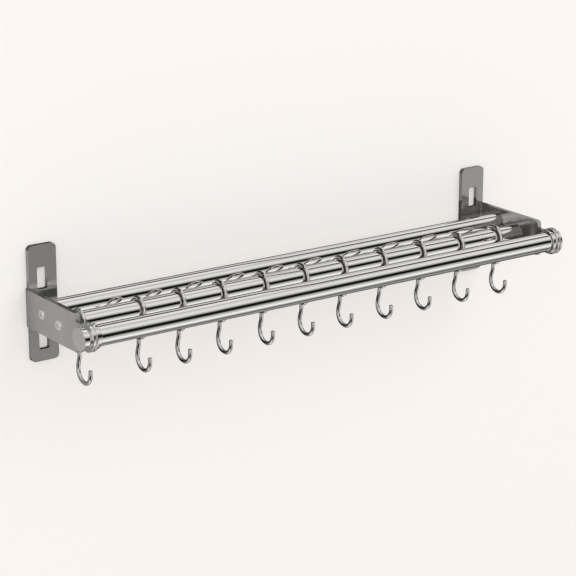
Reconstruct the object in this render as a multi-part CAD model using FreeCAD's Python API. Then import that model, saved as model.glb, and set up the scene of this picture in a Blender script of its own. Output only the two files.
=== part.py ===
"""Kitchen utensil rail in polished stainless steel, built as the real assembly.

Two folded brackets stand against the wall and each carries an arm.  Two round
tubes run between the arms, and a thicker front rail lies in a turned collar at
the front of each arm.  Eleven wire hooks hang on the middle tube and slide on it.

Frame: millimetres, X to the right along the rail, Y into the wall, Z up.
The wall is the plane Y = 0 and the object stands in front of it, at Y < 0.
X = 0 is midway between the arms, and Z = 0 is the middle height of the arms.
"""
import FreeCAD, Part
import math
import os

V = FreeCAD.Vector
os.makedirs("parts", exist_ok=True)

# Driving dimensions
SPAN = 576.0                # over the outer faces of the two arms
SHEET = 5.0                 # thickness of the folded bracket
FOLD_R_OUT = 4.0            # outer radius of the fold
FOLD_R_IN = 0.8             # inner radius of the fold

PLATE_W = 30.5              # wall plate, from the arm's outer face less the inset
PLATE_INSET = 2.8           # plate's outer edge stands in from the arm's outer face
PLATE_UP = 61.5             # plate above the arm's middle height
PLATE_DOWN = 56.0           # plate below it
PLATE_CORNER_R = 5.0

SLOT_W = 11.0               # upright slots for the wall screws
SLOT_H = 22.0
SLOT_CORNER_R = 1.6
SLOT_FROM_FACE = 17.4       # slot's centre line from the arm's outer face
SLOT_UP_Z = 28.0            # centre of the upper slot
SLOT_DOWN_Z = -33.0         # centre of the lower slot

ARM_H = 38.0                # height of the arm
ARM_DEPTH = 99.0            # wall to the arm's front edge
ARM_NOSE_CHAMFER = 2.6      # cut at the upper front corner
NECK_H = 20.0               # neck that reaches from the arm to the collar

TUBE_D = 19.0               # rear and middle tubes
TUBE_WALL = 1.2
REAR_TUBE_Y = -33.5
REAR_TUBE_Z = 4.6
MID_TUBE_Y = -66.0
MID_TUBE_Z = -1.0
SINK_D = 10.4               # countersunk hole in the arm's outer face at each tube
SINK_HOLE_D = 4.6           # its through hole
SINK_TAPER = 45.0           # slope of the countersink in degrees
REAR_SINK_DROP = 3.4        # the rear hole lies this far below the rear tube's axis

RAIL_D = 20.8               # front rail
RAIL_WALL = 1.5
RAIL_Y = -118.5
RAIL_Z = 1.0
RAIL_OUT_LEFT = 7.2         # rail beyond the left arm's outer face, cap not counted
RAIL_OUT_RIGHT = 1.0        # the same at the right arm

COLLAR_D = 28.2             # collar's rims
COLLAR_W = 6.2              # over both rims
COLLAR_GROOVE_W = 1.6       # groove between the rims
COLLAR_GROOVE_D = 26.2
COLLAR_RIM_R = 0.9          # rounding of each rim
COLLAR_HUB_D = 24.4         # hub on the inner side of the arm
COLLAR_HUB_L = 4.4
COLLAR_FACE_STEP_D = 25.6   # shallow step turned in the outer face
COLLAR_FACE_STEP = 0.5

LEFT_CAP_D = 23.2
LEFT_CAP_T = 1.6
RIGHT_CAP_D = 25.2
RIGHT_CAP_T = 1.6
CAP_EDGE = 0.5              # chamfer on a cap's outer edge
CAP_SPIGOT_L = 8.0          # plug that goes into the rail's end

WIRE_D = 4.0                # hook wire
HOOK_PLAY = 0.40            # between the tube and the inside of a hook's eye
HOOK_EYE_LONG = 16.5        # straight sides of the eye, down from the tube's centre
HOOK_DROP = 59.4            # tube's centre to the middle of the wire at the bottom
HOOK_R = 11.6               # curve at the bottom, to the middle of the wire
HOOK_BACK = 3.0             # the stem leans this far back before it curves forward
HOOK_TIP_RISE = 2.0         # straight end above the curve
HOOK_STRAIGHT = 0.2         # share of the stem that stays upright below the eye
# gaps along the middle tube, from the left arm to the first hook and so on to the
# right arm; the hooks slide, so the gaps share out the length between the arms
HOOK_GAPS = [16.5, 66, 46, 48, 50.5, 49.5, 49, 51.5, 51.5, 52, 52.5, 33]

# Sizes that follow from them
HALF = SPAN / 2.0
INNER = HALF - SHEET        # arm's inner face from the middle
ARM_MID = HALF - SHEET / 2.0
ARM_TOP = ARM_H / 2.0
X_AXIS = V(1, 0, 0)
Z_AXIS = V(0, 0, 1)
Y_AXIS = V(0, 1, 0)


def box(x0, x1, y0, y1, z0, z1):
    return Part.makeBox(x1 - x0, y1 - y0, z1 - z0, V(x0, y0, z0))


def rod(radius, x0, x1, y, z):
    return Part.makeCylinder(radius, x1 - x0, V(x0, y, z), X_AXIS)


def mirrored(shape):
    return shape.mirror(V(0, 0, 0), X_AXIS)


def edges_along(shape, direction, test):
    """Straight edges along a direction whose midpoint passes the test."""
    found = []
    for edge in shape.Edges:
        if not isinstance(edge.Curve, Part.Line):
            continue
        if abs(abs(edge.Curve.Direction.dot(direction)) - 1.0) > 1e-6:
            continue
        if test(edge.CenterOfMass):
            found.append(edge)
    return found


def slot_cutter(centre_x, centre_z):
    block = box(centre_x - SLOT_W / 2, centre_x + SLOT_W / 2, -SHEET - 1, 1,
                centre_z - SLOT_H / 2, centre_z + SLOT_H / 2)
    return block.makeFillet(SLOT_CORNER_R, edges_along(block, Y_AXIS, lambda p: True))


def countersink(y, z):
    """Cutter for a countersunk hole in the left arm: a cone that ends in a through hole."""
    head, hole = SINK_D / 2, SINK_HOLE_D / 2
    slope = math.tan(math.radians(SINK_TAPER))
    over = 0.5              # the cone starts outside the face, so that the cut is clean
    start = V(-HALF - over, y, z)
    cone = Part.makeCone(head + over * slope, hole, over + (head - hole) / slope, start, X_AXIS)
    return cone.fuse(rod(hole, -HALF - over, -INNER + over, y, z))


def left_bracket():
    """One folded sheet: wall plate, fold and arm, with slots, holes and neck."""
    outer = -HALF
    edge = outer + PLATE_INSET
    plate = box(edge, edge + PLATE_W, -SHEET, 0, -PLATE_DOWN, PLATE_UP)
    plate = plate.makeFillet(PLATE_CORNER_R, edges_along(
        plate, Y_AXIS, lambda p: abs(p.z) > ARM_TOP + 1))
    # the fold and the arm are drawn as one L in plan and raised to the arm's height
    arm = box(outer, outer + SHEET, -ARM_DEPTH, 0, -ARM_TOP, ARM_TOP)
    foot = box(outer, edge + PLATE_W / 2, -SHEET, 0, -ARM_TOP, ARM_TOP)
    ell = arm.fuse(foot).removeSplitter()
    up = V(0, 0, 1)
    ell = ell.makeFillet(FOLD_R_OUT, edges_along(
        ell, up, lambda p: abs(p.x - outer) < 0.01 and abs(p.y) < 0.01))
    ell = ell.makeFillet(FOLD_R_IN, edges_along(
        ell, up, lambda p: abs(p.x - outer - SHEET) < 0.01 and abs(p.y + SHEET) < 0.01))
    ell = ell.makeChamfer(ARM_NOSE_CHAMFER, edges_along(
        ell, X_AXIS, lambda p: abs(p.y + ARM_DEPTH) < 0.01 and p.z > 0))
    neck = box(outer, outer + SHEET, RAIL_Y, -ARM_DEPTH + 1,
               RAIL_Z - NECK_H / 2, RAIL_Z + NECK_H / 2)
    body = plate.fuse([ell, neck]).removeSplitter()
    slot_x = outer + SLOT_FROM_FACE
    cutters = [slot_cutter(slot_x, SLOT_UP_Z), slot_cutter(slot_x, SLOT_DOWN_Z),
               rod(COLLAR_D / 2, outer - 1, outer + SHEET + 1, RAIL_Y, RAIL_Z),
               countersink(REAR_TUBE_Y, REAR_TUBE_Z - REAR_SINK_DROP),
               countersink(MID_TUBE_Y, MID_TUBE_Z)]
    return body.cut(cutters).removeSplitter()


def tube(diameter, wall, x0, x1, y, z):
    return rod(diameter / 2, x0, x1, y, z).cut(rod(diameter / 2 - wall, x0, x1, y, z))


def left_collar():
    """Turned collar, drawn as a half section and revolved about the rail."""
    rim = COLLAR_D / 2
    groove = COLLAR_GROOVE_D / 2
    step = COLLAR_FACE_STEP_D / 2
    hub = COLLAR_HUB_D / 2
    bore = RAIL_D / 2
    x0 = -ARM_MID - COLLAR_W / 2
    x3 = -ARM_MID + COLLAR_W / 2
    x1 = -ARM_MID - COLLAR_GROOVE_W / 2
    x2 = -ARM_MID + COLLAR_GROOVE_W / 2
    hub_x = x3 + COLLAR_HUB_L
    points = [V(x0 + COLLAR_FACE_STEP, 0, bore), V(x0 + COLLAR_FACE_STEP, 0, step),
              V(x0, 0, step), V(x0, 0, rim - COLLAR_RIM_R), V(x0 + COLLAR_RIM_R, 0, rim),
              V(x1, 0, rim), V(x1, 0, groove), V(x2, 0, groove), V(x2, 0, rim),
              V(x3 - COLLAR_RIM_R, 0, rim), V(x3, 0, rim - COLLAR_RIM_R), V(x3, 0, hub),
              V(hub_x - 0.5, 0, hub), V(hub_x, 0, hub - 0.5), V(hub_x, 0, bore)]
    face = Part.Face(Part.makePolygon(points + [points[0]]))
    face.translate(V(0, RAIL_Y, RAIL_Z))
    return face.revolve(V(0, RAIL_Y, RAIL_Z), X_AXIS, 360)


def end_cap(end_x, outward, diameter, thickness):
    """Flat cap on the rail's end, with the plug that holds it in the bore."""
    inner = min(end_x, end_x + outward * thickness)
    disc = rod(diameter / 2, inner, inner + thickness, RAIL_Y, RAIL_Z)
    face_x = end_x + outward * thickness
    rim_edges = [e for e in disc.Edges if isinstance(e.Curve, Part.Circle)
                 and abs(e.Curve.Center.x - face_x) < 0.01]
    disc = disc.makeChamfer(CAP_EDGE, rim_edges)
    x0 = min(end_x, end_x - outward * CAP_SPIGOT_L)
    plug = rod(RAIL_D / 2 - RAIL_WALL, x0, x0 + CAP_SPIGOT_L, RAIL_Y, RAIL_Z)
    return disc.fuse(plug).removeSplitter()


def hook_eye(x, cy, cz, ring_r, wire_r):
    """Long closed eye: an arch over the tube, two straight sides and a round bottom."""
    low = cz - HOOK_EYE_LONG
    reach = ring_r + 2 * wire_r
    above = Part.makeBox(2 * reach, 2 * reach, reach, V(x - reach, cy - reach, cz))
    below = Part.makeBox(2 * reach, 2 * reach, reach, V(x - reach, cy - reach, low - reach))
    arch = Part.makeTorus(ring_r, wire_r, V(x, cy, cz), X_AXIS).common(above)
    bottom = Part.makeTorus(ring_r, wire_r, V(x, cy, low), X_AXIS).common(below)
    sides = [Part.makeCylinder(wire_r, HOOK_EYE_LONG, V(x, y, low), Z_AXIS)
             for y in (cy - ring_r, cy + ring_r)]
    return arch.fuse([bottom] + sides)


def hook(x):
    """Long wire eye over the middle tube, leaning stem and open curve to the front."""
    wire_r = WIRE_D / 2
    ring_r = TUBE_D / 2 + HOOK_PLAY + wire_r
    cy, cz = MID_TUBE_Y, MID_TUBE_Z
    eye = hook_eye(x, cy, cz, ring_r, wire_r)
    top = V(x, cy, cz - HOOK_EYE_LONG - ring_r)
    bend = V(x, cy + HOOK_BACK, cz - HOOK_DROP + HOOK_R)
    low = V(x, bend.y - HOOK_R, bend.z - HOOK_R)
    front = V(x, bend.y - 2 * HOOK_R, bend.z)
    tip = V(x, front.y, front.z + HOOK_TIP_RISE)
    knee = V(x, cy, top.z - HOOK_STRAIGHT * (top.z - bend.z))
    lean = Part.BezierCurve()
    span = knee.z - bend.z
    lean.setPoles([knee, V(x, knee.y, knee.z - 0.45 * span),
                   V(x, bend.y, bend.z + 0.45 * span), bend])
    path = Part.Wire([Part.makeLine(top, knee), lean.toShape(),
                      Part.Arc(bend, low, front).toShape(), Part.makeLine(front, tip)])
    section = Part.Wire([Part.makeCircle(wire_r, top, V(0, 0, 1))])
    stem = path.makePipeShell([section], True, True)
    dome = Part.makeSphere(wire_r, tip)
    return eye.fuse([stem, dome]).removeSplitter()


def hook_x(index):
    """Place of a hook: its share of the gaps, laid out between the arms' inner faces."""
    return -INNER + 2 * INNER * sum(HOOK_GAPS[:index + 1]) / sum(HOOK_GAPS)


def save(name, shape):
    if not shape.isValid() or len(shape.Solids) != 1:
        raise ValueError("%s: %d solids, valid %s" % (name, len(shape.Solids), shape.isValid()))
    shape.Solids[0].exportStep("parts/%s.step" % name)


bracket = left_bracket()
save("left_bracket", bracket)
save("right_bracket", mirrored(bracket))
save("rear_tube", tube(TUBE_D, TUBE_WALL, -INNER, INNER, REAR_TUBE_Y, REAR_TUBE_Z))
save("middle_tube", tube(TUBE_D, TUBE_WALL, -INNER, INNER, MID_TUBE_Y, MID_TUBE_Z))
save("front_rail", tube(RAIL_D, RAIL_WALL, -HALF - RAIL_OUT_LEFT, HALF + RAIL_OUT_RIGHT,
                        RAIL_Y, RAIL_Z))
collar = left_collar()
save("left_collar", collar)
save("right_collar", mirrored(collar))
save("left_end_cap", end_cap(-HALF - RAIL_OUT_LEFT, -1, LEFT_CAP_D, LEFT_CAP_T))
save("right_end_cap", end_cap(HALF + RAIL_OUT_RIGHT, 1, RIGHT_CAP_D, RIGHT_CAP_T))
for number in range(len(HOOK_GAPS) - 1):
    save("hook_%02d" % (number + 1), hook(hook_x(number)))
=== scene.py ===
# %% [markdown]
# # A kitchen utensil rail in stainless steel
#
# The real rack is a small assembly: two folded sheet brackets stand on the wall, two
# round tubes and a thicker front rail run between their arms, and wire hooks hang on
# the middle tube. The solids come from the CAD model, which fixes every size and place.
# This file gives each piece the surface that the eye sees: rounded edges, drawn tube,
# turned rims and bent wire, and the polish that belongs to each.
#
# Units are metres. X runs along the rail, Y goes into the wall and Z is up.

# %% Load the frame
import math

import bmesh
import bpy
import numpy as np
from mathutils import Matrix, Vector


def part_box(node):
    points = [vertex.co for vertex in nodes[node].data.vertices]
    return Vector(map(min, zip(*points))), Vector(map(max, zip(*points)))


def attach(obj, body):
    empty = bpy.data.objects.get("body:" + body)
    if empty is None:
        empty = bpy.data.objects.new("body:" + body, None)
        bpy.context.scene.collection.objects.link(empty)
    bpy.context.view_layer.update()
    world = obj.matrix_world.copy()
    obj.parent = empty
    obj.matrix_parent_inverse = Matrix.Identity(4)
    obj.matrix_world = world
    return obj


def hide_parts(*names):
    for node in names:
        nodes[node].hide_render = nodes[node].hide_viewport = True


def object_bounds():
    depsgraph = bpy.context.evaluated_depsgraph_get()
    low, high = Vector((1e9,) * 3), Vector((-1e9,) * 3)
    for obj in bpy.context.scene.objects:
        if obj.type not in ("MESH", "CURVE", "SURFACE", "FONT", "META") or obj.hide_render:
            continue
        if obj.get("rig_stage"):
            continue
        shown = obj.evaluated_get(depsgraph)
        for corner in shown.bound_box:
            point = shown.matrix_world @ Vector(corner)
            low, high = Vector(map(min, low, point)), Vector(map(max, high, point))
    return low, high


MM = 0.001
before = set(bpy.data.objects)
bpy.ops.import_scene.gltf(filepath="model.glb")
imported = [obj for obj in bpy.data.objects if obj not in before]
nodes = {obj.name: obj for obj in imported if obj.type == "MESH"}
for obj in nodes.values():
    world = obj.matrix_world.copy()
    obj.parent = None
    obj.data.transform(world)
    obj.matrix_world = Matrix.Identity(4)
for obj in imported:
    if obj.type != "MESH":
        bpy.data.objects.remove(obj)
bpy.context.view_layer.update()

# %% [markdown]
# ## A surface from a grid
#
# Tube, wire, collar and cap are all surfaces with two parameters: how far along a
# profile or a path, and how far round. Numpy works out the whole grid of points at
# once, and one function turns any such grid into a mesh. The index arrays are made the
# same way as the points, so no Python loop visits a vertex.

# %% A grid of points becomes a mesh
SAME_POINT = 1e-7


def grid_piece(name, grid, closed_along=False):
    """A piece from an array of points with shape (along, round, 3).

    Face (i, j) joins points i and i+1 along the profile with points j and j+1 round
    the axis, and j always wraps.  The along direction wraps where closed_along is set.
    Rows that shrink to one point close the ends, and their doubles are merged.
    """
    along, around = grid.shape[:2]
    row = np.arange(along if closed_along else along - 1)[:, None]
    column = np.arange(around)[None, :]
    next_row = (row + 1) % along
    next_column = (column + 1) % around
    quads = np.stack([row * around + column, row * around + next_column,
                      next_row * around + next_column, next_row * around + column], axis=-1)
    mesh = bpy.data.meshes.new(name)
    mesh.from_pydata(grid.reshape(-1, 3).tolist(), [], quads.reshape(-1, 4).tolist())
    shape = bmesh.new()
    shape.from_mesh(mesh)
    bmesh.ops.remove_doubles(shape, verts=shape.verts, dist=SAME_POINT)
    bmesh.ops.recalc_face_normals(shape, faces=shape.faces)
    shape.to_mesh(mesh)
    shape.free()
    mesh.polygons.foreach_set("use_smooth", np.ones(len(mesh.polygons), dtype=bool))
    piece = bpy.data.objects.new(name, mesh)
    bpy.context.scene.collection.objects.link(piece)
    return piece


# %% [markdown]
# ## Corners that catch the light
#
# No corner on worked metal is perfectly sharp. A turned edge is broken with a tool, and
# a sawn tube end is filed. Each lathe profile is drawn with straight lines and then
# every corner is replaced by a short arc, because that thin bright line is what tells
# the eye that the part is solid metal.

# %% Rounded profile
LONGEST_REACH = 0.45


def rounded(profile, radius, steps=6):
    """A closed profile with its corners replaced by arcs of so many points.

    At each corner the arc is a quadratic Bezier curve: it starts at the distance
    radius before the corner, is pulled by the corner, and ends as far after it.  The
    distance is held under LONGEST_REACH times the shorter neighbouring side.
    """
    corner = np.asarray(profile, dtype=float)
    before = np.roll(corner, 1, axis=0) - corner
    after = np.roll(corner, -1, axis=0) - corner
    before_length = np.linalg.norm(before, axis=1, keepdims=True)
    after_length = np.linalg.norm(after, axis=1, keepdims=True)
    reach = np.minimum(radius, LONGEST_REACH * np.minimum(before_length, after_length))
    start = (corner + before / before_length * reach)[:, None]
    end = (corner + after / after_length * reach)[:, None]
    t = np.linspace(0.0, 1.0, steps)[None, :, None]
    arc = (1 - t) ** 2 * start + 2 * t * (1 - t) * corner[:, None] + t ** 2 * end
    return arc.reshape(-1, 2)


# %% Revolved surface, and the axis to turn about
AROUND = 96


def revolved(profile, axis_y, axis_z, around=AROUND):
    """Points (x, r) turned about a line along X: y = axis_y + r cos a, z = axis_z + r sin a."""
    x, r = np.asarray(profile, dtype=float).T
    angle = np.linspace(0.0, 2 * math.pi, around, endpoint=False)
    return np.stack([np.broadcast_to(x[:, None], (len(x), around)),
                     axis_y + r[:, None] * np.cos(angle),
                     axis_z + r[:, None] * np.sin(angle)], axis=-1)


def axis_of(node):
    """The middle of a node's box in Y and Z, which is the axis of a round part."""
    low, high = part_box(node)
    return (low[1] + high[1]) / 2, (low[2] + high[2]) / 2


# %% [markdown]
# ## Colour and nodes
#
# Colours are written as hex values, the way a paint card or a picture editor gives
# them. The renderer works with linear light, so one function converts them. Another
# small function adds a node, sets it and links its inputs, and every material below
# is made with that one alone. A colour ramp's stops count as one more of its settings.

# %% Three small helpers for materials
def linear(hex_colour):
    """sRGB hex to linear: c / 12.92 in the dark end, ((c + 0.055) / 1.055) ** 2.4 above."""
    value = np.array([int(hex_colour[i:i + 2], 16) for i in (1, 3, 5)]) / 255.0
    light = np.where(value <= 0.04045, value / 12.92, ((value + 0.055) / 1.055) ** 2.4)
    return (*light.tolist(), 1.0)


def add(tree, kind, settings=None, **links):
    """Adds a node.  settings holds attributes, and links feeds inputs by name or index.

    A link's value is a socket or a plain value.  An underscore in a name is a space, and
    i3 is input 3.  The setting "stops" fills a colour ramp from (place, hex) pairs.
    """
    node = tree.nodes.new(kind)
    for key, value in (settings or {}).items():
        if key != "stops":
            setattr(node, key, value)
            continue
        ramp = node.color_ramp
        for element, (place, colour) in zip(list(ramp.elements), (value[0], value[-1])):
            element.position, element.color = place, linear(colour)
        for place, colour in value[1:-1]:
            ramp.elements.new(place).color = linear(colour)
    for key, value in links.items():
        by_index = key[0] == "i" and key[1:].isdigit()
        socket = node.inputs[int(key[1:]) if by_index else key.replace("_", " ")]
        if isinstance(value, bpy.types.NodeSocket):
            tree.links.new(value, socket)
        else:
            socket.default_value = value
    return node


def new_material(name):
    """An empty material with its node tree and output ready."""
    material = bpy.data.materials.new(name)
    material.use_nodes = True
    material.node_tree.nodes.clear()
    tree = material.node_tree
    return material, tree, add(tree, "ShaderNodeOutputMaterial")


# %% [markdown]
# ## Finish 1: satin stainless sheet
#
# The outer faces of the arms and the faces of the end caps have a fine satin grind. The
# grind leaves hair lines a few hundredths of a millimetre wide along the sheet, which
# spread a reflection into a soft grey. Real hair lines are too fine to show here, so
# they are drawn about 0.35 mm apart and some 20 mm long, and kept faint. The grind also
# throws part of the light in every direction, which a matt share stands for.

# %% Satin sheet material
HAIR_LINES = (2800.0, 50.0, 2800.0)  # per metre: short across the grind, long along it
CLOUDS = 40.0  # per metre: handling marks about 25 mm across
SATIN_METAL = 0.6  # the rest is the matt share


def satin_stainless(name, darker, lighter):
    """Ground sheet whose tone wanders softly between two greys."""
    material, tree, out = new_material(name)
    where = add(tree, "ShaderNodeTexCoord")
    stretch = add(tree, "ShaderNodeMapping", i0=where.outputs["Object"], Scale=HAIR_LINES)
    lines = add(tree, "ShaderNodeTexNoise", Vector=stretch.outputs[0], Scale=1.0,
                Detail=3.0, Roughness=0.6)
    cloud = add(tree, "ShaderNodeTexNoise", Vector=where.outputs["Object"], Scale=CLOUDS,
                Detail=4.0, Roughness=0.55)
    tone = add(tree, "ShaderNodeValToRGB", {"stops": [(0.30, darker), (0.72, lighter)]},
               i0=cloud.outputs[0])
    grain = add(tree, "ShaderNodeMapRange", Value=lines.outputs[0], i1=0.25, i2=0.75,
                i3=0.27, i4=0.37)
    haze = add(tree, "ShaderNodeMapRange", Value=cloud.outputs[0], i1=0.3, i2=0.7,
               i3=-0.02, i4=0.03)
    rough = add(tree, "ShaderNodeMath", {"operation": "ADD"},
                i0=grain.outputs[0], i1=haze.outputs[0])
    bump = add(tree, "ShaderNodeBump", Height=lines.outputs[0], Strength=0.10,
               Distance=0.04 * MM)
    steel = add(tree, "ShaderNodeBsdfPrincipled", Base_Color=tone.outputs[0],
                Roughness=rough.outputs[0], Metallic=SATIN_METAL, Normal=bump.outputs[0])
    tree.links.new(steel.outputs[0], out.inputs["Surface"])
    return material


# %% [markdown]
# ## Finish 2: mirror polished tube
#
# Welded stainless tube is polished on a belt and then on a cotton wheel while it turns,
# so its last marks run round it. It reflects its surroundings as long clean stripes.
# What keeps it from looking like a computer's chrome is the slight unevenness: the
# wall waves by a few hundredths of a millimetre, and fingers leave patches that are a
# little less sharp. The same recipe, with other numbers, makes four more finishes: the
# bright cold-rolled sheet of the brackets, which is greyer and blurs what it mirrors,
# the turned steel of the collars, the drawn steel of the wire, and the screw heads,
# whose fine turning marks send part of the light everywhere.

# %% Polished material, with the marks that suit each piece
SMUDGES = 55.0  # per metre: finger marks about 18 mm across
WAVES = 30.0  # per metre: the wall's waves, about 33 mm long
MARK_SPREAD = 0.035  # how much rougher the polishing marks are at most


def polished_stainless(name, tint, roughness, mark_scale, wave_mm, metallic=1.0):
    """Polished steel.  mark_scale stretches the polishing marks, in lines per metre.

    What metallic leaves below 1 is a matt share, which a rolled or finely turned face
    has and a mirror hasn't.
    """
    material, tree, out = new_material(name)
    where = add(tree, "ShaderNodeTexCoord")
    stretch = add(tree, "ShaderNodeMapping", i0=where.outputs["Object"], Scale=mark_scale)
    marks = add(tree, "ShaderNodeTexNoise", Vector=stretch.outputs[0], Scale=1.0,
                Detail=2.0, Roughness=0.5)
    smudge = add(tree, "ShaderNodeTexNoise", Vector=where.outputs["Object"], Scale=SMUDGES,
                 Detail=5.0, Roughness=0.6)
    wave = add(tree, "ShaderNodeTexNoise", Vector=where.outputs["Object"], Scale=WAVES,
               Detail=1.0)
    polish = add(tree, "ShaderNodeMapRange", Value=marks.outputs[0], i1=0.3, i2=0.7,
                 i3=roughness, i4=roughness + MARK_SPREAD)
    touch = add(tree, "ShaderNodeMapRange", Value=smudge.outputs[0], i1=0.50, i2=0.75,
                i3=0.0, i4=0.05)
    rough = add(tree, "ShaderNodeMath", {"operation": "ADD"},
                i0=polish.outputs[0], i1=touch.outputs[0])
    ripple = add(tree, "ShaderNodeBump", Height=wave.outputs[0], Strength=0.25,
                 Distance=wave_mm * MM)
    fine = add(tree, "ShaderNodeBump", Height=marks.outputs[0], Strength=0.05,
               Distance=0.02 * MM, Normal=ripple.outputs[0])
    steel = add(tree, "ShaderNodeBsdfPrincipled", Base_Color=linear(tint),
                Roughness=rough.outputs[0], Metallic=metallic, Normal=fine.outputs[0])
    tree.links.new(steel.outputs[0], out.inputs["Surface"])
    return material


# %% The seven finishes of the rack
sheet_steel = satin_stainless("satin_ground_stainless_sheet", "#C3C2BF", "#CCCBC8")
cap_steel = satin_stainless("satin_faced_stainless_disc", "#D1D0CD", "#DAD9D6")
rolled_steel = polished_stainless("bright_rolled_stainless_sheet", "#B4B3B0", 0.12,
                                  (120.0, 900.0, 900.0), 0.25, 0.85)
tube_steel = polished_stainless("mirror_polished_stainless_tube", "#F4F3F1", 0.02,
                                (900.0, 60.0, 60.0), 0.05)
turned_steel = polished_stainless("turned_stainless_collar", "#EFEEEC", 0.03,
                                  (2500.0, 90.0, 90.0), 0.02)
wire_steel = polished_stainless("bright_drawn_stainless_wire", "#EFEEEC", 0.03,
                                (600.0, 600.0, 120.0), 0.03)
screw_steel = polished_stainless("fine_turned_stainless_screw", "#F4F3F1", 0.14,
                                 (2500.0, 90.0, 90.0), 0.02, 0.6)
print(len(bpy.data.materials), "materials, those of the solids included")

# %% [markdown]
# ## The folded brackets
#
# Each bracket is one sheet: a wall plate with two slots, a fold, and an arm. Its shape
# is all flat faces and cut edges, which the CAD solid already has exactly. What is
# missing is the broken edge that deburring leaves, so a copy of the solid is welded
# together, its flat faces are merged, and a Bevel rounds every sharp edge by 0.4 mm.
# The sheet is bright from the roll, and two of its faces are ground satin afterwards.

# %% Brackets with deburred edges
SOLID_SAME_POINT = 1e-6
FLAT_WITHIN = math.radians(1.0)
EDGE_FROM = math.radians(32.0)
DEBURR = 0.4 * MM
FACING = 0.99  # a face looks along an axis when its normal's share of it is over this


def deburred(node, name, width):
    """A welded copy of a solid, with its sharp edges rounded by width."""
    piece = nodes[node].copy()
    piece.data = nodes[node].data.copy()
    piece.name = piece.data.name = name
    for key in [k for k in piece.keys() if k.startswith("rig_")]:
        del piece[key]
    piece.parent = None
    bpy.context.scene.collection.objects.link(piece)
    shape = bmesh.new()
    shape.from_mesh(piece.data)
    bmesh.ops.remove_doubles(shape, verts=shape.verts, dist=SOLID_SAME_POINT)
    bmesh.ops.dissolve_limit(shape, angle_limit=FLAT_WITHIN, verts=shape.verts,
                             edges=shape.edges)
    shape.to_mesh(piece.data)
    shape.free()
    piece.data.polygons.foreach_set("use_smooth", np.ones(len(piece.data.polygons), dtype=bool))
    bevel = piece.modifiers.new("deburred_edge", "BEVEL")
    bevel.width, bevel.segments = width, 3
    bevel.limit_method, bevel.angle_limit = "ANGLE", EDGE_FROM
    flat = piece.modifiers.new("flat_faces_lead", "WEIGHTED_NORMAL")
    flat.mode, flat.weight = "FACE_AREA", 100
    return piece


for side, outward in (("left", -1), ("right", 1)):
    bracket = deburred(side + "_bracket", side + "_bracket_sheet", DEBURR)
    bracket.data.materials.clear()
    bracket.data.materials.append(rolled_steel)
    bracket.data.materials.append(sheet_steel)
    # the arm's outer face and the plate's face on the wall are ground; the rest stays bright
    ground = [int(face.normal.x * outward > FACING or face.normal.y > FACING)
              for face in bracket.data.polygons]
    bracket.data.polygons.foreach_set("material_index", ground)
    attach(bracket, "rack")
    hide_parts(side + "_bracket")
    print(bracket.name, len(bracket.data.polygons), "faces before the bevel")

# %% [markdown]
# ## Tubes and front rail
#
# A tube is a closed profile, outer wall and inner wall joined by two filed ends, turned
# about its axis. Its diameter and ends are read from the CAD node's box, so it can't
# drift from the solid that it stands for. Ninety-six faces round and true smooth
# shading keep the long reflected stripes straight.

# %% Three tubes
TUBE_WALL = 1.2 * MM
RAIL_WALL = 1.5 * MM
FILED_LIP = 0.35 * MM


def tube_piece(node, wall):
    """A tube with the size and place of its node."""
    low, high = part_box(node)
    axis_y, axis_z = axis_of(node)
    outer = (high[1] - low[1]) / 2
    profile = rounded([(low[0], outer), (high[0], outer), (high[0], outer - wall),
                       (low[0], outer - wall)], FILED_LIP)
    piece = grid_piece(node + "_surface", revolved(profile, axis_y, axis_z), closed_along=True)
    piece.data.materials.append(tube_steel)
    # the two front tubes are left out of the mirror images behind them, so that the rear
    # and middle tubes show the room's bands whole
    piece.visible_glossy = node == "rear_tube"
    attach(piece, "rack")
    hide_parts(node)
    return piece


for node, wall in (("rear_tube", TUBE_WALL), ("middle_tube", TUBE_WALL), ("front_rail", RAIL_WALL)):
    piece = tube_piece(node, wall)
    print(piece.name, [round(v * 1000, 1) for v in piece.dimensions])

# %% [markdown]
# ## Screws in the arms
#
# A raised countersunk screw holds each tube's end through the arm. Its cone fills the
# countersink, its top stands 1.6 mm proud with a rounded shoulder, and a hexagon socket
# is sunk in the middle. A hexagon is a circle whose radius grows towards its six
# corners, so the socket needs only a factor on the radius of its own rows.

# %% Screw profile and hexagon socket
SINK_R = 5.15 * MM
SHANK_R = 2.2 * MM
SHANK_DEEP = 5.0 * MM
TOP_R = 3.3 * MM
TOP_RISE = 1.6 * MM
SOCKET_R = 1.6 * MM
SOCKET_FLOOR = -0.4 * MM
SOCKET_RIM = (0.15 * MM, 0.1 * MM)  # how wide and how deep the socket's rim is broken
REAR_SINK_DROP = 3.4 * MM
SIXTH = math.pi / 3


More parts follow.
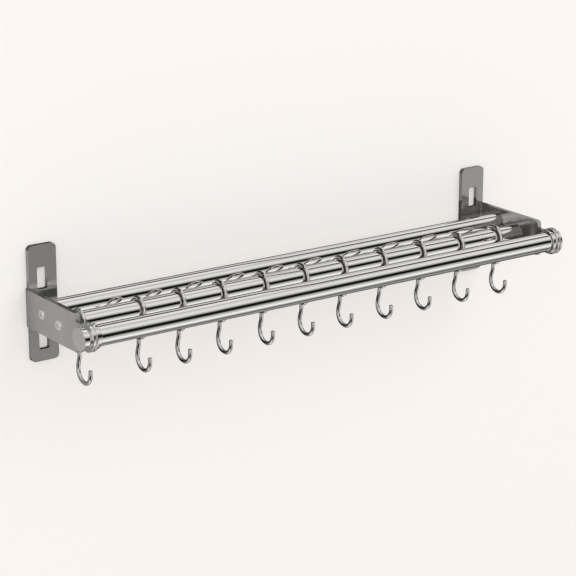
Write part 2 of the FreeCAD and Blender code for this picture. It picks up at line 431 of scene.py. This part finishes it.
def screw_piece(name, face_x, outward, axis_y, axis_z, around=AROUND):
    """A screw whose head looks along outward; rows hold (distance out of the face, radius)."""
    turn = np.linspace(0.0, math.pi / 2, 10)
    # the shoulder is a quarter of an ellipse from the countersink's rim up to the flat top
    shoulder = np.stack([TOP_RISE * np.sin(turn), TOP_R + (SINK_R - TOP_R) * np.cos(turn)], axis=-1)
    shank = [(-SHANK_DEEP, 0.0), (-SHANK_DEEP, SHANK_R), (SHANK_R - SINK_R, SHANK_R)]
    socket = [(TOP_RISE, SOCKET_R + SOCKET_RIM[0]), (TOP_RISE - SOCKET_RIM[1], SOCKET_R),
              (SOCKET_FLOOR, SOCKET_R), (SOCKET_FLOOR, 0.0)]
    out, radius = np.concatenate([shank, shoulder, socket]).T
    angle = np.linspace(0.0, 2 * math.pi, around, endpoint=False)
    hexagon = math.cos(SIXTH / 2) / np.cos((angle + SIXTH / 2) % SIXTH - SIXTH / 2)
    reach = np.repeat(radius[:, None], around, 1)
    reach[-len(socket):] *= hexagon / hexagon.min()
    grid = np.stack([np.repeat((face_x + outward * out)[:, None], around, 1),
                     axis_y + reach * np.cos(angle), axis_z + reach * np.sin(angle)], axis=-1)
    piece = grid_piece(name, grid)
    piece.data.set_sharp_from_angle(angle=math.radians(35.0))
    piece.data.materials.append(screw_steel)
    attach(piece, "rack")
    return piece


for side, outward in (("left", -1), ("right", 1)):
    low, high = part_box(side + "_bracket")
    face_x = high[0] if outward > 0 else low[0]
    for node, down in (("rear_tube", REAR_SINK_DROP), ("middle_tube", 0.0)):
        axis_y, axis_z = axis_of(node)
        screw = screw_piece(side + "_" + node + "_screw", face_x, outward, axis_y, axis_z - down)
        print(screw.name, len(screw.data.polygons), "faces")

# %% [markdown]
# ## Turned collars
#
# The collar is the showpiece: two rims with a groove between them, a shallow step in
# the outer face and a hub on the inner side, all cut in one go on a lathe. The profile
# below is that cut. Each corner is rounded a little, so every ridge ends in a line of
# light, as the rings do on the real part.

# %% Collar profile
COLLAR_W = 6.2 * MM
GROOVE_W = 1.6 * MM
GROOVE_DEEP = 1.0 * MM
STEP_R = 12.8 * MM
STEP_DEEP = 0.5 * MM
HUB_R = 12.2 * MM
COLLAR_EDGE = 0.8 * MM
COLLAR_AROUND = 128


def collar_piece(side, outward):
    """A collar whose outer face looks along outward, -1 for the left and +1 for the right."""
    node = side + "_collar"
    low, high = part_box(node)
    axis_y, axis_z = axis_of(node)
    rim = (high[1] - low[1]) / 2
    bore = (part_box("front_rail")[1][1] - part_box("front_rail")[0][1]) / 2
    face, hub_end = (high[0], low[0]) if outward > 0 else (low[0], high[0])
    step = face - outward * STEP_DEEP
    back = face - outward * COLLAR_W
    middle = (face + back) / 2
    near, far = middle + outward * GROOVE_W / 2, middle - outward * GROOVE_W / 2
    profile = [(step, bore), (step, STEP_R), (face, STEP_R), (face, rim), (near, rim),
               (near, rim - GROOVE_DEEP), (far, rim - GROOVE_DEEP), (far, rim), (back, rim),
               (back, HUB_R), (hub_end, HUB_R), (hub_end, bore)]
    surface = revolved(rounded(profile, COLLAR_EDGE, 7), axis_y, axis_z, COLLAR_AROUND)
    piece = grid_piece(node + "_turned", surface, closed_along=True)
    piece.data.materials.append(turned_steel)
    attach(piece, "rack")
    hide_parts(node)
    return piece


for side, outward in (("left", -1), ("right", 1)):
    collar = collar_piece(side, outward)
    print(collar.name, len(collar.data.polygons), "faces")

# %% [markdown]
# ## End caps
#
# A flat disc closes each end of the rail. It has a broken edge and a plug that goes
# into the bore. The disc is slightly crowned, by a tenth of a millimetre, because a
# ground disc never comes off the belt perfectly flat.

# %% Cap profile
PLUG_R = 8.9 * MM
DISC_T = 1.6 * MM
CROWN = 0.12 * MM
CROWN_SHARE = 0.93  # the crown reaches this share of the disc's radius
CAP_EDGE = 0.5 * MM
CAP_STEPS = 6


def cap_piece(side, outward):
    """A disc and its plug; the disc's face looks along outward."""
    node = side + "_end_cap"
    low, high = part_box(node)
    axis_y, axis_z = axis_of(node)
    radius = (high[1] - low[1]) / 2
    face, plug_end = (high[0], low[0]) if outward > 0 else (low[0], high[0])
    rim = face - outward * CROWN
    seat = face - outward * DISC_T
    # the crowned face: x falls from the centre by CROWN times the square of the radius
    share = np.linspace(0.0, CROWN_SHARE, 12)
    crowned = np.stack([face - outward * CROWN * share ** 2, radius * share], axis=-1)
    # the first and last corner only guide the rounding of their neighbours
    edge = rounded([(rim, CROWN_SHARE * radius), (rim, radius), (seat, radius), (seat, PLUG_R),
                    (plug_end, PLUG_R), (plug_end, 0.0)], CAP_EDGE, CAP_STEPS)
    profile = np.concatenate([crowned, edge[CAP_STEPS:-CAP_STEPS], [(plug_end, 0.0)]])
    piece = grid_piece(node + "_disc", revolved(profile, axis_y, axis_z))
    piece.data.materials.append(turned_steel)
    piece.data.materials.append(cap_steel)
    # the disc's face is ground like the arms, and its turned edge is bright
    ground = [int(polygon.normal.x * outward > FACING) for polygon in piece.data.polygons]
    piece.data.polygons.foreach_set("material_index", ground)
    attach(piece, "rack")
    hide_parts(node)
    return piece


for side, outward in (("left", -1), ("right", 1)):
    cap = cap_piece(side, outward)
    print(cap.name, [round(v * 1000, 2) for v in cap.dimensions])

# %% [markdown]
# ## Wire hooks
#
# A hook is one length of drawn wire. It makes a long closed eye round the tube: an arch
# over the top, two straight sides and a round bottom. From there its stem leans back a
# little before it turns forward into an open curve. The whole centre line lies in one
# plane, so the surface is simple: at each point of the path the wire's circle is spanned
# by the path's normal and by the X direction.

# %% Hook path
WIRE_R = 2.0 * MM
EYE_R = 11.9 * MM
EYE_LONG = 16.5 * MM
DROP = 59.4 * MM
CURVE_R = 11.6 * MM
LEAN = 3.0 * MM
TIP_RISE = 2.0 * MM
STRAIGHT = 0.2  # the share of the stem that stays straight under the eye
PULL = 0.45  # how far the leaning stretch's ends pull it along the stem


def hook_path(centre_y, centre_z):
    """The stem's centre line in Y and Z: line, cubic Bezier, half circle and line."""
    top = np.array([centre_y, centre_z - EYE_LONG - EYE_R])
    bend = np.array([centre_y + LEAN, centre_z - DROP + CURVE_R])
    knee = np.array([centre_y, top[1] - STRAIGHT * (top[1] - bend[1])])
    pull = np.array([0.0, PULL * (knee[1] - bend[1])])
    line = top + (knee - top) * np.linspace(0.0, 1.0, 6)[:, None]
    t = np.linspace(0.0, 1.0, 18)[1:, None]
    lean = ((1 - t) ** 3 * knee + 3 * t * (1 - t) ** 2 * (knee - pull)
            + 3 * t ** 2 * (1 - t) * (bend + pull) + t ** 3 * bend)
    angle = np.linspace(0.0, math.pi, 40)[1:, None]
    curve = bend - [CURVE_R, 0] + CURVE_R * np.concatenate([np.cos(angle), -np.sin(angle)], axis=1)
    rise = curve[-1] + np.array([[0, TIP_RISE / 2], [0, TIP_RISE]])
    return np.concatenate([line, lean, curve, rise])


# %% Wire surface along the path
WIRE_AROUND = 28
TIP_EDGE = 0.7 * MM


def wire_along(path, x, radius, around=WIRE_AROUND):
    """A wire of circles along a flat path, with a half sphere at its head and a filed flat tip.

    A point is P + r (N cos a + X sin a), where N is the path's normal in its plane.
    The half sphere adds rows with the radius r cos b, moved on by r sin b.  The tip
    rises as far, but only its edge e is round: r - e + e cos b, moved on by r - e + e sin b.
    """
    tangent = np.gradient(path, axis=0)
    tangent /= np.linalg.norm(tangent, axis=1, keepdims=True)
    quarter = np.linspace(0.0, math.pi / 2, 7)
    over_head = quarter[:0:-1]
    head = path[0] - tangent[0] * radius * np.sin(over_head[:, None])
    tip_out = np.append(radius - TIP_EDGE + TIP_EDGE * np.sin(quarter), radius)
    tip_size = np.append(radius - TIP_EDGE + TIP_EDGE * np.cos(quarter), 0.0)
    tail = path[-1] + tangent[-1] * tip_out[:, None]
    centre = np.concatenate([head, path, tail])
    direction = np.concatenate([np.repeat(tangent[:1], len(head), 0), tangent,
                                np.repeat(tangent[-1:], len(tail), 0)])
    size = np.concatenate([radius * np.cos(over_head), np.full(len(path), radius), tip_size])
    normal = np.stack([-direction[:, 1], direction[:, 0]], axis=-1)
    angle = np.linspace(0.0, 2 * math.pi, around, endpoint=False)
    across = size[:, None] * np.cos(angle)
    return np.stack([x + size[:, None] * np.sin(angle), centre[:, :1] + normal[:, :1] * across,
                     centre[:, 1:] + normal[:, 1:] * across], axis=-1)


# %% Eye surface
def eye_grid(x, centre_y, centre_z, along=37, around=WIRE_AROUND):
    """A long torus about X: its upper half stays at the tube, its lower half sits EYE_LONG down.

    Round the axis a point is at the distance R + r cos b.  The rows where the two halves
    meet are EYE_LONG apart, and the faces between them are the eye's straight sides.
    """
    upper, lower = np.linspace(0.0, math.pi, along), np.linspace(math.pi, 2 * math.pi, along)
    turn = np.concatenate([upper, lower])[:, None]
    down = np.repeat([0.0, EYE_LONG], along)[:, None]
    angle = np.linspace(0.0, 2 * math.pi, around, endpoint=False)[None, :]
    reach = EYE_R + WIRE_R * np.cos(angle)
    return np.stack([x + WIRE_R * np.sin(angle) + 0 * turn, centre_y + reach * np.cos(turn),
                     centre_z - down + reach * np.sin(turn)], axis=-1)


# %% Eleven hooks, each on its own body
mid_y, mid_z = axis_of("middle_tube")
stem = hook_path(mid_y, mid_z)
hook_nodes = sorted(name for name in nodes if name.startswith("hook_"))
for node in hook_nodes:
    low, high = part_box(node)
    x = (low[0] + high[0]) / 2
    wire = grid_piece(node + "_wire", wire_along(stem, x, WIRE_R))
    eye = grid_piece(node + "_eye", eye_grid(x, mid_y, mid_z), closed_along=True)
    for piece in (wire, eye):
        piece.data.materials.append(wire_steel)
        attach(piece, node)
        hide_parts(node)
print(len(hook_nodes), "hooks, stem of", len(stem), "points")

# %% [markdown]
# ## Wall, floor and light
#
# Polished steel shows what is around it, so the room matters as much as the metal. Matt
# surfaces are lit by a pale room and two soft lamps. What the polished pieces mirror is
# set apart from that with the Light Path node: a room of long bands that run round the
# tubes' axis, pale above and below and black at eye height, so that every tube carries
# the same clean stripes. On the pale wall, polished metal sees painted shade, near black
# behind the rack, and a painted grey left of it. Part of the wall's brightness is a glow of
# its own, because the photograph's shadows on it are faint.
#
# The wall and floor are only seen from their front, so that the rack can be looked at
# from behind and from below too.

# %% Backdrop material
WALL_COLOUR = "#F8F4F1"
GLOW_SHARE = 0.4
# painted shade and painted reflection that only polished metal sees on the pale wall: near black
# behind the rack, and grey left of it
PAINTED_SHADE, PAINTED_GREY_REFLECTION = "#101010", "#8E8E8C"
LEFT_FACE_X = -0.290
SHADE_FADE = 0.012
# the painted shade is a strip from 100 mm below the arms' middle to 25 mm above it
STRIP_Z, STRIP_HALF = -0.0375, 0.0625
WALL_Y = -0.01


def backdrop_material():
    """Matt emulsion.  The camera sees it pale from the front, and clear from behind.  Polished
    metal sees painted shade on it.
    """
    material, tree, out = new_material("pale_matt_emulsion")
    ray = add(tree, "ShaderNodeLightPath")
    side = add(tree, "ShaderNodeNewGeometry")
    where = add(tree, "ShaderNodeTexCoord")
    split = add(tree, "ShaderNodeSeparateXYZ", i0=where.outputs["Object"])
    across = add(tree, "ShaderNodeMapRange", Value=split.outputs[0],
                 i1=LEFT_FACE_X - SHADE_FADE, i2=LEFT_FACE_X, i3=0.0, i4=1.0)
    # painted shade and painted reflection: glossy rays see the wall grey left of the rack and near
    # black behind it
    painted_mirror_tone = add(tree, "ShaderNodeMix", {"data_type": "RGBA"}, i0=across.outputs[0],
                   i6=linear(PAINTED_GREY_REFLECTION), i7=linear(PAINTED_SHADE))
    colour = add(tree, "ShaderNodeMix", {"data_type": "RGBA"}, i0=ray.outputs["Is Glossy Ray"],
                 i6=linear(WALL_COLOUR), i7=painted_mirror_tone.outputs[2])
    paint = add(tree, "ShaderNodeBsdfPrincipled", Base_Color=colour.outputs[2], Roughness=0.95,
                Specular_IOR_Level=0.0)
    # the glow keeps the shadow on the wall soft and faint
    glow = add(tree, "ShaderNodeEmission", Color=colour.outputs[2], Strength=1.0)
    wall = add(tree, "ShaderNodeMixShader", i0=GLOW_SHARE, i1=paint.outputs[0], i2=glow.outputs[0])
    clear = add(tree, "ShaderNodeBsdfTransparent")
    # past the strip and the floor the metal sees the room, whose bands stay whole round the tubes
    strip = add(tree, "ShaderNodeMath", {"operation": "COMPARE"}, i0=split.outputs[2],
                i1=STRIP_Z, i2=STRIP_HALF)
    left = add(tree, "ShaderNodeMath", {"operation": "LESS_THAN"}, i0=split.outputs[0],
               i1=LEFT_FACE_X)
    upright = add(tree, "ShaderNodeMath", {"operation": "GREATER_THAN"}, i0=split.outputs[1],
                  i1=WALL_Y)
    left_wall = add(tree, "ShaderNodeMath", {"operation": "MULTIPLY"}, i0=left.outputs[0],
                    i1=upright.outputs[0])
    shown = add(tree, "ShaderNodeMath", {"operation": "MAXIMUM"}, i0=strip.outputs[0],
                i1=left_wall.outputs[0])
    hidden = add(tree, "ShaderNodeMath", {"operation": "LESS_THAN"}, i0=shown.outputs[0], i1=0.5)
    past = add(tree, "ShaderNodeMath", {"operation": "MULTIPLY"}, i0=hidden.outputs[0],
               i1=ray.outputs["Is Glossy Ray"])
    gone = add(tree, "ShaderNodeMath", {"operation": "MAXIMUM"}, i0=side.outputs["Backfacing"],
               i1=past.outputs[0])
    back = add(tree, "ShaderNodeMixShader", i0=gone.outputs[0], i1=wall.outputs[0],
               i2=clear.outputs[0])
    tree.links.new(back.outputs[0], out.inputs["Surface"])
    return material


# %% Backdrop
WALL_GAP = 0.3 * MM
FLOOR_Z = -0.95


def backdrop_grid(half_width=3.2, height=2.2, depth=3.4, curve=0.35):
    """A sheet that comes down the wall, turns through a quarter circle and runs forward."""
    turn = np.linspace(0.0, math.pi / 2, 16)
    y = np.concatenate([[WALL_GAP], WALL_GAP - curve * (1 - np.cos(turn)), [-depth]])
    z = np.concatenate([[height], FLOOR_Z + curve * (1 - np.sin(turn)), [FLOOR_Z]])
    x = np.linspace(-half_width, half_width, 3)
    return np.stack([np.broadcast_to(x, (len(y), 3)), np.repeat(y[:, None], 3, 1),
                     np.repeat(z[:, None], 3, 1)], axis=-1)


backdrop_points = backdrop_grid()
cell = np.arange(len(backdrop_points) - 1)[:, None] * 3 + np.arange(2)[None, :]
faces = np.stack([cell, cell + 3, cell + 4, cell + 1], axis=-1).reshape(-1, 4)
backdrop_mesh = bpy.data.meshes.new("studio_backdrop")
backdrop_mesh.from_pydata(backdrop_points.reshape(-1, 3).tolist(), [], faces.tolist())
backdrop_mesh.polygons.foreach_set("use_smooth", np.ones(len(backdrop_mesh.polygons), dtype=bool))
backdrop = bpy.data.objects.new("studio_backdrop", backdrop_mesh)
bpy.context.scene.collection.objects.link(backdrop)
backdrop_mesh.materials.append(backdrop_material())
backdrop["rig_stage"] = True
print("backdrop faces towards", [round(v, 2) for v in backdrop_mesh.polygons[0].normal])

# %% [markdown]
# ## The room in the mirrors
#
# A world shader knows only the direction of a ray. Its angle round the tubes' axis picks
# a tone from a ramp, and its X shifts that angle, so the bands slope from one side of
# the room to the other. A thin dark line, a dark curtain and a tall window are laid over
# the bands. Rays that don't come off polished metal see a plain pale room.

# %% World: where a ray goes
SLOPE_X, SLOPE_TURN = (0.44, 0.66), (3.0, -12.0)
DROP_X, DROP_TURN = (0.38, 0.05), 45.0

world = bpy.data.worlds.new("pale_studio")
bpy.context.scene.world = world
world.use_nodes = True
room = world.node_tree
room.nodes.clear()
heading = add(room, "ShaderNodeTexCoord")
split = add(room, "ShaderNodeSeparateXYZ", i0=heading.outputs["Generated"])
ahead = add(room, "ShaderNodeMath", {"operation": "MULTIPLY"}, i0=split.outputs[1], i1=-1.0)
# turn: the angle round the tubes, 0 to the front, pi/2 up and -pi/2 down
turn = add(room, "ShaderNodeMath", {"operation": "ARCTAN2"}, i0=split.outputs[2],
           i1=ahead.outputs[0])
# the bands slope: they sit lower towards the right of the room, by 15 degrees at most
slope = add(room, "ShaderNodeMapRange", Value=split.outputs[0], i1=SLOPE_X[0], i2=SLOPE_X[1],
            i3=math.radians(SLOPE_TURN[0]), i4=math.radians(SLOPE_TURN[1]))
# and in the middle and left of the room they sit lower by 45 degrees
drop = add(room, "ShaderNodeMapRange", Value=split.outputs[0], i1=DROP_X[0], i2=DROP_X[1],
           i3=0.0, i4=math.radians(DROP_TURN))
tilt = add(room, "ShaderNodeMath", {"operation": "ADD"}, i0=slope.outputs[0], i1=drop.outputs[0])
sloped = add(room, "ShaderNodeMath", {"operation": "ADD"}, i0=turn.outputs[0], i1=tilt.outputs[0])
level = add(room, "ShaderNodeMapRange", Value=sloped.outputs[0], i1=-math.pi, i2=math.pi,
            i3=0.0, i4=1.0)

# %% World: bands of tone
# degrees round the tubes and the tone there, from below the back to above the back
TONES = [(-180, "#3C3C3B"), (-150, "#3C3C3B"), (-132, "#505050"), (-110, "#A0A09E"),
         (-96, "#8C8C8A"), (-86, "#5F5F5E"), (-76, "#787877"), (-66, "#BEBDBB"),
         (-58, "#EBEAE8"), (-50, "#FFFFFF"), (-40, "#F0EFED"), (-28, "#C8C7C5"),
         (-20, "#B4B3B1"), (-13, "#8C8C8A"), (-9, "#464645"), (-5, "#080808"),
         (10, "#060606"), (18, "#505050"), (27, "#BEBDBB"), (42, "#EBEAE8"),
         (60, "#E1E0DE"), (72, "#BEBDBB"), (83, "#D7D6D4"), (96, "#F5F4F2"),
         (115, "#D7D6D4"), (133, "#BEBDBB"), (145, "#E1E0DE"), (153, "#787877"),
         (160, "#2A2A29"), (180, "#3C3C3B")]


def round_stops(tones):
    """(degrees, tone) pairs as stops of a ramp that holds the whole turn from -180 to 180."""
    return [((degrees + 180) / 360, tone) for degrees, tone in tones]


bands = add(room, "ShaderNodeValToRGB", {"stops": round_stops(TONES)}, i0=level.outputs[0])
print(len(TONES), "tones round the room")

# %% World: a thin line, a curtain and a window
LINE = [(-180, "#FFFFFF"), (107, "#FFFFFF"), (113, "#303030"), (122, "#303030"),
        (128, "#FFFFFF"), (180, "#FFFFFF")]
LINE_X, LINE_DROP = (0.520, 0.555), 25.0
CURTAIN = [(-1.0, "#FFFFFF"), (-0.89, "#FFFFFF"), (-0.86, "#202020"), (-0.74, "#202020"),
           (-0.66, "#FFFFFF"), (1.0, "#FFFFFF")]
WINDOW_X, WINDOW_TONE = (-0.91, -0.88), "#EBEAE8"

# the line is high up where a ray's X is small, and 25 degrees lower where it is larger
line_drop = add(room, "ShaderNodeMapRange", Value=split.outputs[0], i1=LINE_X[0], i2=LINE_X[1],
                i3=0.0, i4=math.radians(LINE_DROP))
line_turn = add(room, "ShaderNodeMath", {"operation": "ADD"}, i0=turn.outputs[0],
                i1=line_drop.outputs[0])
line_level = add(room, "ShaderNodeMapRange", Value=line_turn.outputs[0], i1=-math.pi, i2=math.pi,
                 i3=0.0, i4=1.0)
line = add(room, "ShaderNodeValToRGB", {"stops": round_stops(LINE)}, i0=line_level.outputs[0])
lined = add(room, "ShaderNodeMix", {"data_type": "RGBA", "blend_type": "MULTIPLY"}, i0=1.0,
            i6=bands.outputs[0], i7=line.outputs[0])
# the curtain hangs at the left of the room and draws the black streak down the wires
across = add(room, "ShaderNodeMapRange", Value=split.outputs[0], i1=-1.0, i2=1.0, i3=0.0, i4=1.0)
curtain = add(room, "ShaderNodeValToRGB",
              {"stops": [((place + 1) / 2, tone) for place, tone in CURTAIN]},
              i0=across.outputs[0])
toned = add(room, "ShaderNodeMix", {"data_type": "RGBA", "blend_type": "MULTIPLY"}, i0=1.0,
            i6=lined.outputs[2], i7=curtain.outputs[0])
# past the curtain the tall window lights the wires' left edges
beyond = add(room, "ShaderNodeMapRange", Value=split.outputs[0], i1=WINDOW_X[0], i2=WINDOW_X[1],
             i3=1.0, i4=0.0)
windowed = add(room, "ShaderNodeMix", {"data_type": "RGBA"}, i0=beyond.outputs[0],
               i6=toned.outputs[2], i7=linear(WINDOW_TONE))

# %% World: what each ray sees
PALE_STRENGTH = 0.90

seen = add(room, "ShaderNodeLightPath")
pale = add(room, "ShaderNodeBackground", Color=linear("#FFFFFF"), Strength=PALE_STRENGTH)
lit = add(room, "ShaderNodeBackground", Color=windowed.outputs[2], Strength=1.0)
which = add(room, "ShaderNodeMixShader", i0=seen.outputs["Is Glossy Ray"], i1=pale.outputs[0],
            i2=lit.outputs[0])
add(room, "ShaderNodeOutputWorld", Surface=which.outputs[0])

# %% [markdown]
# ## Lamps
#
# Two wide lamps give the matt surfaces their shape: a key from the upper right and a
# weaker fill from the left. Polished metal doesn't mirror them, because a sharp white
# rectangle would cut through the bands.


# %% Two soft lamps
def soft_lamp(name, place, aim, size, power):
    """An area lamp at place that shines towards aim; its size in metres sets how soft it is."""
    data = bpy.data.lights.new(name, "AREA")
    data.shape, data.size, data.size_y, data.energy = "RECTANGLE", size[0], size[1], power
    lamp = bpy.data.objects.new(name, data)
    bpy.context.scene.collection.objects.link(lamp)
    lamp.location = place
    toward = np.array(aim) - np.array(place)
    yaw = math.atan2(toward[0], toward[1])
    pitch = math.atan2(-toward[2], math.hypot(toward[0], toward[1]))
    lamp.rotation_euler = (math.pi / 2 - pitch, 0.0, -yaw)
    lamp.visible_glossy = False
    return lamp


RACK_MIDDLE = (0.0, 0.0, 0.0)
soft_lamp("key_softbox", (0.9, -1.6, 1.7), RACK_MIDDLE, size=(1.4, 0.9), power=9.0)
soft_lamp("fill_softbox", (-1.8, -1.9, 0.6), RACK_MIDDLE, size=(1.6, 1.6), power=6.0)

# %% [markdown]
# ## Camera
#
# The photograph looks at the rack from the left and a little above, through a long
# lens, so the far bracket looks about 15% smaller than the near one.

# %% Camera at the photograph's viewing angle
YAW = math.radians(35.32)
PITCH = math.radians(16.90)
CAMERA_AT = (-1.2037, -1.7320, 0.6098)
FOCAL_PX = 2107.8
FRAME_PX = 576
SENSOR_MM = 36.0
camera_data = bpy.data.cameras.new("photo_camera")
camera_data.sensor_width = SENSOR_MM
camera_data.lens = FOCAL_PX / FRAME_PX * SENSOR_MM
camera_data.clip_start, camera_data.clip_end = 0.1, 30.0
camera = bpy.data.objects.new("photo_camera", camera_data)
bpy.context.scene.collection.objects.link(camera)
camera.location = CAMERA_AT
camera.rotation_euler = (math.pi / 2 - PITCH, 0.0, -YAW)
bpy.context.scene.camera = camera
bpy.context.scene.view_settings.view_transform = "Standard"
print("lens", round(camera_data.lens, 1), "mm")

# %% Print the visual box and finish
low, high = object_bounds()
print("visual box", [round(v, 4) for v in low], [round(v, 4) for v in high])
